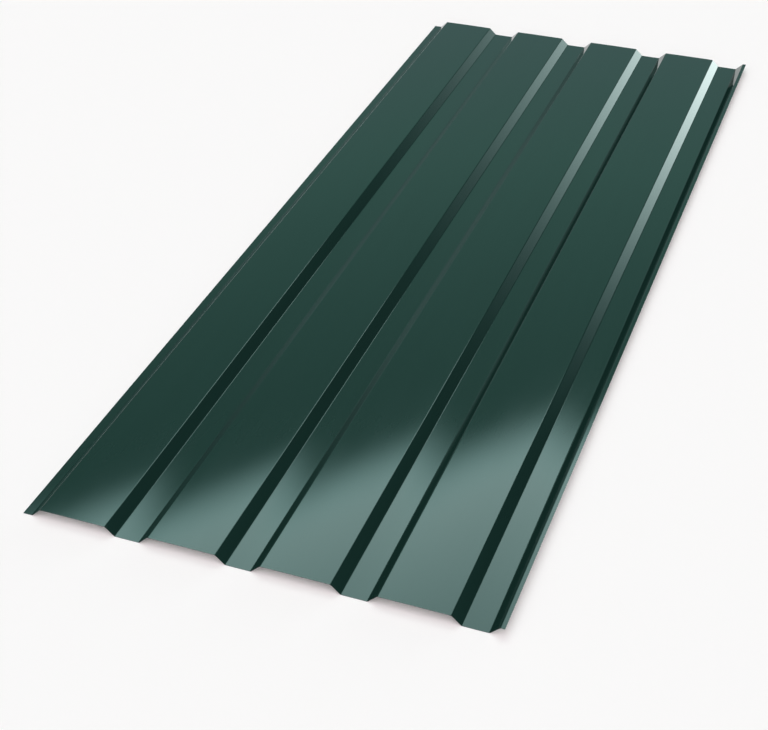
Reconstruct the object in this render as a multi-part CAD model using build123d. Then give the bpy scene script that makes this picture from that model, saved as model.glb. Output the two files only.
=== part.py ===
from build123d import *
import os

# A coated steel roofing sheet, rolled to a shallow trapezoidal corrugation, lying valleys down.
# X runs across the ribs, Y along them and Z up. The origin is under the middle of the sheet,
# on the level that the undersides of the valleys rest on. All sizes are in millimetres.

# The sheet
sheet_length = 1150.0
sheet_thickness = 0.3
rib_count = 4

# One rib, measured on the upper side between the corners that the bends round off.
# Crown, slope, valley and slope together make the pitch, 107.
crown_width = 65.0
valley_width = 24.0
slope_run = 9.0
rib_rise = 8.7

# The long edges. The low flange of one sheet lies in the last valley of the sheet beside it,
# and its first crown covers that sheet's high lip, so four ribs of each sheet stay in view.
low_flange_width = 9.0
high_lip_width = 4.0

# Every bend has this radius on the side that it closes towards
inside_bend_radius = 1.6


def profile_stretches():
    """The straight stretches across the sheet, left to right, each as its run and its rise."""
    up = (slope_run, rib_rise)
    down = (slope_run, -rib_rise)
    rib = [up, (crown_width, 0.0), down, (valley_width, 0.0)]
    return [(low_flange_width, 0.0)] + rib_count * rib + [up, (high_lip_width, 0.0)]


def corners_along(stretches):
    """The points between the stretches, with both free edges, starting from zero."""
    x = 0.0
    z = 0.0
    corners = [(x, z)]
    for run, rise in stretches:
        x += run
        z += rise
        corners.append((x, z))
    return corners


def upper_bend_radii(stretches):
    """The upper side's radius at each bend: where the sheet turns down, it is the bend's outside."""
    outside_bend_radius = inside_bend_radius + sheet_thickness
    radii = []
    for (_, rise), (_, next_rise) in zip(stretches, stretches[1:]):
        turns_down = next_rise < rise
        radii.append(outside_bend_radius if turns_down else inside_bend_radius)
    return radii


def sheet_section():
    """The rolled strip seen from its end: the upper side, and the underside one thickness below."""
    stretches = profile_stretches()
    upper_side = FilletPolyline(*corners_along(stretches), radius=upper_bend_radii(stretches))
    outline = offset(upper_side, amount=sheet_thickness, side=Side.RIGHT, closed=True)
    return make_face(outline)


def corrugated_sheet():
    """The section carried along Y, centred, and set down with its lowest faces at zero height."""
    sheet = extrude(Plane.XZ * sheet_section(), amount=sheet_length)
    box = sheet.bounding_box()
    middle = box.center()
    return Pos(-middle.X, -middle.Y, -box.min.Z) * sheet


os.makedirs("parts", exist_ok=True)
export_step(corrugated_sheet(), "parts/corrugated_sheet.step")
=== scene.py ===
import math

import bmesh
import bpy
from mathutils import Matrix, Vector


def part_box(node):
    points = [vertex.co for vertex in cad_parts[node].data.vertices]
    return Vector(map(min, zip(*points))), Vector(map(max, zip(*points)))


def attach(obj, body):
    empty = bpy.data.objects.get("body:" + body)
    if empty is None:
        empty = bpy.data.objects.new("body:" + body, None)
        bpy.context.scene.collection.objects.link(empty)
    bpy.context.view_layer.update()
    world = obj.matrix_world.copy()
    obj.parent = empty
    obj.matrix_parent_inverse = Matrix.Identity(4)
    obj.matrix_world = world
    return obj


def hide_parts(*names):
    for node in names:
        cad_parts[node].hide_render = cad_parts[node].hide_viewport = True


# A dark green coated steel roofing sheet on a pale floor. X runs across the ribs, Y along them, Z up.
# Lengths are in metres. A direction of light is an azimuth, from +Y towards +X, and an elevation, in degrees.

# The camera: where it stands, what it looks at, its small roll, and how near and far it sees
CAMERA_PLACE = Vector((0.45185, -1.46182, 0.92166))
CAMERA_AIM = Vector((-0.00019, -0.24961, 0.0))
CAMERA_ROLL = math.radians(-0.286)
CAMERA_LENS = 73.333
SENSOR_WIDTH = 36.0
CAMERA_NEAREST = 0.05
CAMERA_FURTHEST = 200.0

# Rolling leaves the flats faintly bowed: the crowns upwards and the valleys downwards
CROWN_BOW = 0.00012
VALLEY_BOW = 0.00004

# How finely the sheet is divided across its flats and along its length
CELL_ACROSS = 0.004
CELL_ALONG = 0.025

# Reading the section: points this close are one, a flat is at least this long,
# and a step this many times as long as the next is a straight beside a bend
SAME_PLACE = 1e-6
SHORTEST_FLAT = 0.002
STRAIGHT_TO_BEND = 2.0

# The sheet's material slots
TOP_SLOT = 0
UNDER_SLOT = 1
EDGE_SLOT = 2

# Noise mostly stays between these two values
NOISE_LOW = 0.3
NOISE_HIGH = 0.7

# The paint: its colour and gloss as linear red, green and blue, and how wide the grains on it are
TOP_COAT = (0.0085, 0.0285, 0.0235)
TOP_COAT_GLOSS_TINT = (0.57, 1.0, 0.96)
TOP_COAT_ROUGHNESS = (0.055, 0.07)
STREAK_WIDTH = 0.012
CLOUD_WIDTH = 0.03
ORANGE_PEEL_WIDTH = 0.0022
ORANGE_PEEL_DEPTH = 0.0000004
PAINT_IOR = 1.5

# The backing coat on the underside
BACKING_COAT = (0.40, 0.41, 0.39)
BACKING_ROUGHNESS = (0.42, 0.52)
MOTTLE_WIDTH = 0.006
BACKING_GRAIN_WIDTH = 0.0012
BACKING_GRAIN_DEPTH = 0.000002

# The cut edges
BARE_STEEL = (0.16, 0.18, 0.18)
BARE_STEEL_ROUGHNESS = (0.4, 0.6)
CUT_MARK_WIDTH = 0.0004
CUT_MARK_DEPTH = 0.00001
CUT_MARK_LOW = 0.35
CUT_MARK_HIGH = 0.65

# The floor
FLOOR_WHITE = (0.96, 0.96, 0.96)
FLOOR_ROUGHNESS = 0.9
FLOOR_RADIUS = 80.0
FLOOR_CORNERS = 96

# The light is all in the world. A brightness of 1 is that of a white wall.
# Both panels are equally bright at their lower edge, and fade upwards
PANEL_BRIGHTNESS = 4.1
PANEL_TINT = (1.0, 1.0, 1.0)
PANEL_END_SOFTNESS = 1.0

# The overhead panel lies above a slanting edge, which is in the plane square to this direction
OVERHEAD_SQUARE_TO = Vector((0.380, -0.522, 0.763))
OVERHEAD_EDGE_SOFTNESS = 1.2
OVERHEAD_RIM_END = 1.8
OVERHEAD_RIM_TINT = (0.78, 1.0, 1.0)
OVERHEAD_TOP = 19.0
OVERHEAD_LEFT_END = -60.0
OVERHEAD_LEFT_SOFTNESS = 3.0
OVERHEAD_RIGHT_END = -6.0

# The second panel stands right of it, above a level edge
SECOND_EDGE_START = 37.5
SECOND_EDGE_END = 39.0
SECOND_FADE_START = 38.0
SECOND_TOP = 60.0
SECOND_RIGHT_END = 5.0

# The low window is round. Nearness goes from 0 at its reach to 1 at its middle,
# and the window is greenest below the rim nearness
WINDOW_MIDDLE = (19.6, 2.4)
WINDOW_REACH = 26.7
WINDOW_BRIGHTNESS = 10.4
WINDOW_FALL_OFF = 6.3
WINDOW_TINT = (0.97, 1.0, 0.985)
WINDOW_RIM_TINT = (0.70, 1.0, 0.98)
WINDOW_RIM_NEARNESS = 0.5

# The room behind the sheet, between two ends, and its colour at each elevation
ROOM_LEFT_END = -72.0
ROOM_RIGHT_END = 8.0
ROOM_END_SOFTNESS = 8.0
ROOM_COLOURS = (
    # A pale strip along the floor
    (0.0, (0.75, 0.75, 0.75)),
    (3.5, (0.70, 0.70, 0.70)),
    # A dark gap above it
    (5.5, (0.04, 0.05, 0.05)),
    (6.5, (0.04, 0.05, 0.05)),
    # The dim foot of the wall
    (9.0, (0.15, 0.22, 0.21)),
    (10.8, (0.17, 0.26, 0.25)),
    # The wall, which gets greener upwards
    (11.6, (0.33, 0.49, 0.47)),
    (23.0, (0.34, 0.51, 0.50)),
    (28.0, (0.30, 0.54, 0.47)),
    (32.0, (0.24, 0.57, 0.45)),
    (37.0, (0.18, 0.53, 0.40)),
    # The dark ceiling
    (48.0, (0.04, 0.06, 0.05)),
)

# A round dark screen stands in front of the room on the left: fully dark this near its middle
SCREEN_MIDDLE = (-54.0, 10.0)
SCREEN_DARK_WITHIN = 9.5
SCREEN_REACH = 18.0

# The plain wall on the left and behind the camera begins where the room ends
PLAIN_WALL_BRIGHTNESS = 0.55
PLAIN_WALL_TINT = (1.0, 1.0, 1.0)
PLAIN_WALL_TOP = 50.0

# The fill comes from behind and above the camera
FILL_MIDDLE = (160.0, 55.0)
FILL_FULL_WITHIN = 15.0
FILL_REACH = 75.0
FILL_BRIGHTNESS = 1.54
FILL_TINT = (1.0, 0.92, 0.94)


def near_rim(node):
    """The section at the sheet's near end, read from the CAD mesh: a ring of (x, z) in order."""
    mesh = bmesh.new()
    mesh.from_mesh(node.data)
    bmesh.ops.remove_doubles(mesh, verts=mesh.verts, dist=SAME_PLACE)
    near_y = min(vert.co.y for vert in mesh.verts)
    follows = {}
    for edge in mesh.edges:
        # An edge of the rim has the end face, which looks towards -Y, on one side only
        at_near_end = all(abs(vert.co.y - near_y) < SAME_PLACE for vert in edge.verts)
        end_faces = [face for face in edge.link_faces if face.normal.y < -0.5]
        if at_near_end and len(end_faces) == 1:
            first, second = edge.verts
            follows.setdefault(first.index, []).append(second.index)
            follows.setdefault(second.index, []).append(first.index)
    mesh.verts.ensure_lookup_table()
    start = next(iter(follows))
    ring = [start]
    last = None
    while True:
        onward = [index for index in follows[ring[-1]] if index != last]
        last = ring[-1]
        if onward[0] == start:
            break
        ring.append(onward[0])
    points = [(mesh.verts[index].co.x, mesh.verts[index].co.z) for index in ring]
    mesh.free()
    return points


def upper_and_lower_side(ring):
    """The ring split at the two free edges into two lines of points, both from left to right."""
    left = min(x for x, z in ring)
    corners = [i for i, (x, z) in enumerate(ring) if x < left + SAME_PLACE]
    upper_left = max(corners, key=lambda i: ring[i][1])
    ring = ring[upper_left:] + ring[:upper_left]
    if ring[1][0] < left + SAME_PLACE:
        ring = [ring[0]] + ring[:0:-1]
    half = len(ring) // 2
    return ring[:half], ring[:half - 1:-1]


def flat_stretches(side):
    """Where a side is level: the first and last x of each flat, and its height."""
    flats = []
    for (x, z), (next_x, next_z) in zip(side, side[1:]):
        if abs(next_z - z) < SAME_PLACE and next_x - x > SHORTEST_FLAT:
            flats.append((x, next_x, z))
    return flats


def bow_at(x, flats):
    """How far the bow of the flats lifts or lowers the sheet at x. The two edge flats have none."""
    crown_height = max(z for _, _, z in flats)
    places = []
    for number, (start, end, z) in enumerate(flats):
        is_edge = number in (0, len(flats) - 1)
        if is_edge:
            bow = 0.0
        elif z > crown_height - SAME_PLACE:
            bow = -CROWN_BOW
        else:
            bow = VALLEY_BOW
        if start <= x <= end:
            across = 2.0 * (x - start) / (end - start) - 1.0
            return bow * across ** 2
        places.append((start, bow))
        places.append((end, bow))
    before = max((place for place in places if place[0] <= x), default=places[0])
    after = min((place for place in places if place[0] >= x), default=places[-1])
    gap = after[0] - before[0]
    share = (x - before[0]) / gap if gap > 0.0 else 0.0
    return before[1] + share * (after[1] - before[1])


def divided(upper, lower):
    """Both sides with more points across the flats, still in pairs."""
    new_upper = [upper[0]]
    new_lower = [lower[0]]
    for i in range(1, len(upper)):
        run = upper[i][0] - upper[i - 1][0]
        level = abs(upper[i][1] - upper[i - 1][1]) < SAME_PLACE
        parts = math.ceil(run / CELL_ACROSS) if level else 1
        for part in range(1, parts + 1):
            share = part / parts
            for old, new in ((upper, new_upper), (lower, new_lower)):
                x = old[i - 1][0] + share * (old[i][0] - old[i - 1][0])
                z = old[i - 1][1] + share * (old[i][1] - old[i - 1][1])
                new.append((x, z))
    return new_upper, new_lower


def bowed_sides(node):
    """The upper and lower side of the section, divided and bowed, as lines of (x, z) in pairs."""
    upper, lower = upper_and_lower_side(near_rim(node))
    flats = flat_stretches(upper)
    upper, lower = divided(upper, lower)
    upper = [(x, z + bow_at(x, flats)) for x, z in upper]
    lower = [(x, z + bow_at(x, flats)) for x, z in lower]
    return upper, lower


def side_normals(side, facing):
    """The true normal at each point of a side: that of the straight next to it, or halfway in a bend."""
    steps = [Vector((b[0] - a[0], b[1] - a[1])) for a, b in zip(side, side[1:])]
    normals = []
    for i in range(len(side)):
        before = steps[max(i - 1, 0)]
        after = steps[min(i, len(steps) - 1)]
        if before.length > STRAIGHT_TO_BEND * after.length:
            along = before.normalized()
        elif after.length > STRAIGHT_TO_BEND * before.length:
            along = after.normalized()
        else:
            along = (before.normalized() + after.normalized()).normalized()
        normals.append(Vector((-along.y, 0.0, along.x)) * facing)
    return normals


def sheet_mesh(node):
    """The rolled sheet as rows of points along its length, with its true normals."""
    upper, lower = bowed_sides(node)
    near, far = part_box(node.name)
    rows = math.ceil((far.y - near.y) / CELL_ALONG)
    count = len(upper)
    last = count - 1

    vertices = []
    for row in range(rows + 1):
        y = near.y + (far.y - near.y) * row / rows
        vertices += [(x, y, z) for x, z in upper]
        vertices += [(x, y, z) for x, z in lower]

    faces = []
    slots = []
    normals = []

    def top(row, i):
        return row * 2 * count + i

    def under(row, i):
        return row * 2 * count + count + i

    def add(corners, slot, corner_normals):
        faces.append(corners)
        slots.append(slot)
        normals.extend(corner_normals)

    def add_edge(corners, x, y):
        add(corners, EDGE_SLOT, [Vector((x, y, 0.0))] * 4)

    top_normals = side_normals(upper, 1.0)
    under_normals = side_normals(lower, -1.0)
    for row in range(rows):
        on = row + 1
        for i in range(last):
            a, b = top_normals[i], top_normals[i + 1]
            corners = (top(row, i), top(row, i + 1), top(on, i + 1), top(on, i))
            add(corners, TOP_SLOT, (a, b, b, a))
            a, b = under_normals[i], under_normals[i + 1]
            corners = (under(row, i + 1), under(row, i), under(on, i), under(on, i + 1))
            add(corners, UNDER_SLOT, (b, a, a, b))
        add_edge((under(row, 0), top(row, 0), top(on, 0), under(on, 0)), -1.0, 0.0)
        add_edge((top(row, last), under(row, last), under(on, last), top(on, last)), 1.0, 0.0)
    for i in range(last):
        add_edge((under(0, i), under(0, i + 1), top(0, i + 1), top(0, i)), 0.0, -1.0)
        add_edge((under(rows, i + 1), under(rows, i), top(rows, i), top(rows, i + 1)), 0.0, 1.0)

    mesh = bpy.data.meshes.new("rolled_sheet")
    mesh.from_pydata(vertices, [], faces)
    for polygon, slot in zip(mesh.polygons, slots):
        polygon.material_index = slot
        polygon.use_smooth = True
    mesh.normals_split_custom_set(normals)
    return mesh


def new_material(name):
    """An empty material with its shader and output, and the node tree to add to."""
    material = bpy.data.materials.new(name)
    material.use_nodes = True
    tree = material.node_tree
    tree.nodes.clear()
    output = tree.nodes.new("ShaderNodeOutputMaterial")
    shader = tree.nodes.new("ShaderNodeBsdfPrincipled")
    tree.links.new(shader.outputs["BSDF"], output.inputs["Surface"])
    return material, tree, shader


def stretched_noise(tree, width, stretch, detail):
    """Noise whose grains are width metres across the sheet and stretch times as long along it."""
    place = tree.nodes.new("ShaderNodeTexCoord")
    scale = tree.nodes.new("ShaderNodeMapping")
    scale.inputs["Scale"].default_value = (1.0 / width, 1.0 / (width * stretch), 1.0 / width)
    noise = tree.nodes.new("ShaderNodeTexNoise")
    noise.inputs["Scale"].default_value = 1.0
    noise.inputs["Detail"].default_value = detail
    tree.links.new(place.outputs["Object"], scale.inputs["Vector"])
    tree.links.new(scale.outputs["Vector"], noise.inputs["Vector"])
    return noise.outputs["Fac"]


def map_range(tree, value, from_low, from_high, to_low, to_high, smooth=False):
    """A value carried from one range to another, held at the ends."""
    node = tree.nodes.new("ShaderNodeMapRange")
    node.interpolation_type = "SMOOTHSTEP" if smooth else "LINEAR"
    tree.links.new(value, node.inputs["Value"])
    node.inputs["From Min"].default_value = from_low
    node.inputs["From Max"].default_value = from_high
    node.inputs["To Min"].default_value = to_low
    node.inputs["To Max"].default_value = to_high
    return node.outputs["Result"]


def following(tree, noise, low=0.0, high=1.0):
    """A value that follows the noise from low to high."""
    return map_range(tree, noise, NOISE_LOW, NOISE_HIGH, low, high)


def blend_colours(tree, factor, first, second):
    """The first colour where the factor is 0, and the second where it is 1."""
    node = tree.nodes.new("ShaderNodeMix")
    node.data_type = "RGBA"
    node.inputs["A"].default_value = (*first, 1.0)
    node.inputs["B"].default_value = (*second, 1.0)
    tree.links.new(factor, node.inputs["Factor"])
    return node.outputs["Result"]


def shades(tree, factor, colour, darkest, lightest):
    """A colour that goes from one share of its brightness to another."""
    darker = tuple(darkest * part for part in colour)
    lighter = tuple(lightest * part for part in colour)
    return blend_colours(tree, factor, darker, lighter)


def add_relief(tree, shader, height, depth):
    """Fine relief on the surface, depth metres high."""
    bump = tree.nodes.new("ShaderNodeBump")
    bump.inputs["Strength"].default_value = 1.0
    bump.inputs["Distance"].default_value = depth
    tree.links.new(height, bump.inputs["Height"])
    tree.links.new(bump.outputs["Normal"], shader.inputs["Normal"])


def top_coat_material():
    """Glossy dark green paint with faint streaks along the rolling direction and a fine orange peel."""
    material, tree, shader = new_material("green_top_coat")
    streaks = stretched_noise(tree, STREAK_WIDTH, stretch=12.0, detail=3.0)
    colour = shades(tree, following(tree, streaks), TOP_COAT, darkest=0.97, lightest=1.03)
    tree.links.new(colour, shader.inputs["Base Color"])
    clouding = stretched_noise(tree, CLOUD_WIDTH, stretch=4.0, detail=2.0)
    tree.links.new(following(tree, clouding, *TOP_COAT_ROUGHNESS), shader.inputs["Roughness"])
    shader.inputs["IOR"].default_value = PAINT_IOR
    shader.inputs["Specular Tint"].default_value = (*TOP_COAT_GLOSS_TINT, 1.0)
    orange_peel = stretched_noise(tree, ORANGE_PEEL_WIDTH, stretch=1.3, detail=1.0)
    add_relief(tree, shader, orange_peel, ORANGE_PEEL_DEPTH)
    return material


def backing_material():
    """The thin light grey backing coat on the underside, duller and slightly mottled."""
    material, tree, shader = new_material("grey_backing_coat")
    mottle = stretched_noise(tree, MOTTLE_WIDTH, stretch=8.0, detail=4.0)
    colour = shades(tree, following(tree, mottle), BACKING_COAT, darkest=0.93, lightest=1.07)
    tree.links.new(colour, shader.inputs["Base Color"])
    tree.links.new(following(tree, mottle, *BACKING_ROUGHNESS), shader.inputs["Roughness"])
    shader.inputs["IOR"].default_value = PAINT_IOR
    grain = stretched_noise(tree, BACKING_GRAIN_WIDTH, stretch=1.0, detail=2.0)
    add_relief(tree, shader, grain, BACKING_GRAIN_DEPTH)
    return material


def cut_edge_material():
    """Sheared steel, dulled, with fine marks that show more in its colour than in its roughness."""
    material, tree, shader = new_material("cut_edge")
    marks = stretched_noise(tree, CUT_MARK_WIDTH, stretch=1.0, detail=2.0)
    clearer_marks = map_range(tree, marks, CUT_MARK_LOW, CUT_MARK_HIGH, 0.0, 1.0)
    colour = shades(tree, clearer_marks, BARE_STEEL, darkest=0.6, lightest=1.0)
    tree.links.new(colour, shader.inputs["Base Color"])
    shader.inputs["Metallic"].default_value = 1.0
    tree.links.new(following(tree, marks, *BARE_STEEL_ROUGHNESS), shader.inputs["Roughness"])
    add_relief(tree, shader, marks, CUT_MARK_DEPTH)
    return material


def add_sheet(frame):
    """The visible sheet, in the place of the CAD node."""
    node = frame["nodes"]["corrugated_sheet"]
    piece = bpy.data.objects.new("coated_sheet", sheet_mesh(node))
    bpy.context.scene.collection.objects.link(piece)
    # In the order of TOP_SLOT, UNDER_SLOT and EDGE_SLOT
    for material in (top_coat_material(), backing_material(), cut_edge_material()):
        piece.data.materials.append(material)
    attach(piece, "root")
    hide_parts("corrugated_sheet")


def add_floor():
    """A wide level floor under the sheet."""
    material, _, shader = new_material("pale_floor")
    shader.inputs["Base Color"].default_value = (*FLOOR_WHITE, 1.0)
    shader.inputs["Roughness"].default_value = FLOOR_ROUGHNESS
    shader.inputs["Specular IOR Level"].default_value = 0.0
    mesh = bmesh.new()
    bmesh.ops.create_circle(mesh, cap_ends=True, segments=FLOOR_CORNERS, radius=FLOOR_RADIUS)
    data = bpy.data.meshes.new("floor")
    mesh.to_mesh(data)
    mesh.free()
    floor = bpy.data.objects.new("floor", data)
    floor.data.materials.append(material)
    bpy.context.scene.collection.objects.link(floor)


def sine(degrees):
    """The sine of an angle in degrees."""
    return math.sin(math.radians(degrees))


def cosine(degrees):
    """The cosine of an angle in degrees."""
    return math.cos(math.radians(degrees))


def direction(azimuth, elevation):
    """A unit vector from degrees."""
    level = cosine(elevation)
    return Vector((sine(azimuth) * level, cosine(azimuth) * level, sine(elevation)))


def towards(tree, vector):
    """The cosine of the angle between a direction of light and a fixed one."""
    place = tree.nodes.new("ShaderNodeTexCoord")
    node = tree.nodes.new("ShaderNodeVectorMath")
    node.operation = "DOT_PRODUCT"
    tree.links.new(place.outputs["Generated"], node.inputs[0])
    node.inputs[1].default_value = vector
    return node.outputs["Value"]


def upwards(tree):
    """The sine of a direction's elevation."""
    return towards(tree, Vector((0.0, 0.0, 1.0)))


def math_node(tree, operation, first, second):
    """Two values, or a value and a number, put together."""
    node = tree.nodes.new("ShaderNodeMath")
    node.operation = operation
    for socket, value in zip(node.inputs, (first, second)):
        if isinstance(value, float):
            socket.default_value = value
        else:
            tree.links.new(value, socket)
    return node.outputs[0]


def product(tree, first, *others):
    """Values multiplied together."""
    for other in others:
        first = math_node(tree, "MULTIPLY", first, other)
    return first


def soft_step(tree, height, start, end):
    """Rises from 0 to 1 between two angles above a plane, where height is the sine of that angle."""
    return map_range(tree, height, sine(start), sine(end), 0.0, 1.0, smooth=True)


def left_of(tree, azimuth, softness):
    """Rises from 0 to 1 across an upright line, towards its left."""
    return soft_step(tree, towards(tree, direction(azimuth - 90.0, 0.0)), -softness, softness)


def right_of(tree, azimuth, softness):
    """Rises from 0 to 1 across an upright line, towards its right."""
    return soft_step(tree, towards(tree, direction(azimuth + 90.0, 0.0)), -softness, softness)


def light(tree, colour, brightness):
    """Light whose brightness changes with direction, in one colour or in one that changes too."""
    background = tree.nodes.new("ShaderNodeBackground")
    if isinstance(colour, tuple):
        background.inputs["Color"].default_value = (*colour, 1.0)
    else:
        tree.links.new(colour, background.inputs["Color"])
    tree.links.new(brightness, background.inputs["Strength"])
    return background.outputs["Background"]


def overhead_panel(tree):
    """A panel above a slanting straight edge, with upright ends and a greener rim."""
    height = towards(tree, OVERHEAD_SQUARE_TO)
    brightness = product(
        tree,
        soft_step(tree, height, -OVERHEAD_EDGE_SOFTNESS, OVERHEAD_EDGE_SOFTNESS),
        map_range(tree, height, sine(0.0), sine(OVERHEAD_TOP), PANEL_BRIGHTNESS, 0.0),
        right_of(tree, OVERHEAD_LEFT_END, OVERHEAD_LEFT_SOFTNESS),
        left_of(tree, OVERHEAD_RIGHT_END, PANEL_END_SOFTNESS),
    )
    rim_start = sine(-OVERHEAD_EDGE_SOFTNESS)
    past_rim = map_range(tree, height, rim_start, sine(OVERHEAD_RIM_END), 0.0, 1.0)
    return light(tree, blend_colours(tree, past_rim, OVERHEAD_RIM_TINT, PANEL_TINT), brightness)


def second_panel(tree):
    """A panel right of the overhead one, with a level lower edge."""
    height = upwards(tree)
    brightness = product(
        tree,
        soft_step(tree, height, SECOND_EDGE_START, SECOND_EDGE_END),
        map_range(tree, height, sine(SECOND_FADE_START), sine(SECOND_TOP), PANEL_BRIGHTNESS, 0.0),
        right_of(tree, OVERHEAD_RIGHT_END, PANEL_END_SOFTNESS),
        left_of(tree, SECOND_RIGHT_END, PANEL_END_SOFTNESS),
    )
    return light(tree, PANEL_TINT, brightness)


def low_window(tree):
    """A window, brightest at its middle, which fades evenly and gets greener towards its rim."""
    from_middle = towards(tree, direction(*WINDOW_MIDDLE))
    nearness = map_range(tree, from_middle, cosine(WINDOW_REACH), 1.0, 0.0, 1.0)
    brightness = product(tree, math_node(tree, "POWER", nearness, WINDOW_FALL_OFF), WINDOW_BRIGHTNESS)
    past_rim = map_range(tree, nearness, WINDOW_RIM_NEARNESS, 1.0, 0.0, 1.0)
    return light(tree, blend_colours(tree, past_rim, WINDOW_RIM_TINT, WINDOW_TINT), brightness)


def room(tree):
    """The room behind the sheet: its colour changes with elevation, and a dark screen hides part of it."""
    wall = tree.nodes.new("ShaderNodeValToRGB")
    stops = wall.color_ramp.elements
    while len(stops) > 1:
        stops.remove(stops[0])
    for number, (elevation, colour) in enumerate(ROOM_COLOURS):
        stop = stops[0] if number == 0 else stops.new(0.5)
        stop.position = sine(elevation)
        stop.color = (*colour, 1.0)
    tree.links.new(upwards(tree), wall.inputs["Fac"])
    from_screen = towards(tree, direction(*SCREEN_MIDDLE))
    screen_start = cosine(SCREEN_REACH)
    screen_dark = cosine(SCREEN_DARK_WITHIN)
    brightness = product(
        tree,
        left_of(tree, ROOM_RIGHT_END, ROOM_END_SOFTNESS),
        map_range(tree, from_screen, screen_start, screen_dark, 1.0, 0.0, smooth=True),
        right_of(tree, ROOM_LEFT_END, ROOM_END_SOFTNESS),
    )
    return light(tree, wall.outputs["Color"], brightness)


def plain_wall(tree):
    """A plain wall on the left and behind the camera, which fades upwards."""
    top = sine(PLAIN_WALL_TOP)
    fading = map_range(tree, upwards(tree), sine(0.0), top, PLAIN_WALL_BRIGHTNESS, 0.0)
    brightness = product(tree, fading, left_of(tree, ROOM_LEFT_END, ROOM_END_SOFTNESS))
    return light(tree, PLAIN_WALL_TINT, brightness)


def fill_light(tree):
    """Broad light from behind and above the camera."""
    from_middle = towards(tree, direction(*FILL_MIDDLE))
    start = cosine(FILL_REACH)
    full = cosine(FILL_FULL_WITHIN)
    brightness = map_range(tree, from_middle, start, full, 0.0, FILL_BRIGHTNESS, smooth=True)
    return light(tree, FILL_TINT, brightness)


def add_world():
    """A soft studio, as the sum of its lights."""
    world = bpy.data.worlds.new("studio")
    bpy.context.scene.world = world
    world.use_nodes = True
    tree = world.node_tree
    tree.nodes.clear()
    output = tree.nodes.new("ShaderNodeOutputWorld")
    total = room(tree)
    for add_light in (overhead_panel, second_panel, low_window, plain_wall, fill_light):
        add = tree.nodes.new("ShaderNodeAddShader")
        tree.links.new(total, add.inputs[0])
        tree.links.new(add_light(tree), add.inputs[1])
        total = add.outputs[0]
    tree.links.new(total, output.inputs["Surface"])


def add_camera():
    """A camera at the photograph's viewing angle."""
    data = bpy.data.cameras.new("camera")
    data.lens = CAMERA_LENS
    data.sensor_width = SENSOR_WIDTH
    data.sensor_fit = "HORIZONTAL"
    data.clip_start = CAMERA_NEAREST
    data.clip_end = CAMERA_FURTHEST
    camera = bpy.data.objects.new("camera", data)
    bpy.context.scene.collection.objects.link(camera)
    facing = (CAMERA_AIM - CAMERA_PLACE).to_track_quat("-Z", "Y").to_matrix().to_4x4()
    camera.matrix_world = Matrix.Translation(CAMERA_PLACE) @ facing @ Matrix.Rotation(CAMERA_ROLL, 4, "Z")
    bpy.context.scene.camera = camera


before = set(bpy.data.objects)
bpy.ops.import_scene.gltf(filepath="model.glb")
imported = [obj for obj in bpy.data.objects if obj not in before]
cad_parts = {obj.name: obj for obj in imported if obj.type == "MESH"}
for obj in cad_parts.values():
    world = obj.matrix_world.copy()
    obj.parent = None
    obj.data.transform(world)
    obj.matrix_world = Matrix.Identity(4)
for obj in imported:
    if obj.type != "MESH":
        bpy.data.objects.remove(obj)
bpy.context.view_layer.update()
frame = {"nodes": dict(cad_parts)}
bpy.context.scene.view_settings.view_transform = "Standard"
# Light is followed through two reflections and no more, which keeps the shaded slopes dark
bpy.context.scene.cycles.glossy_bounces = 1
add_camera()
add_floor()
add_world()
add_sheet(frame)
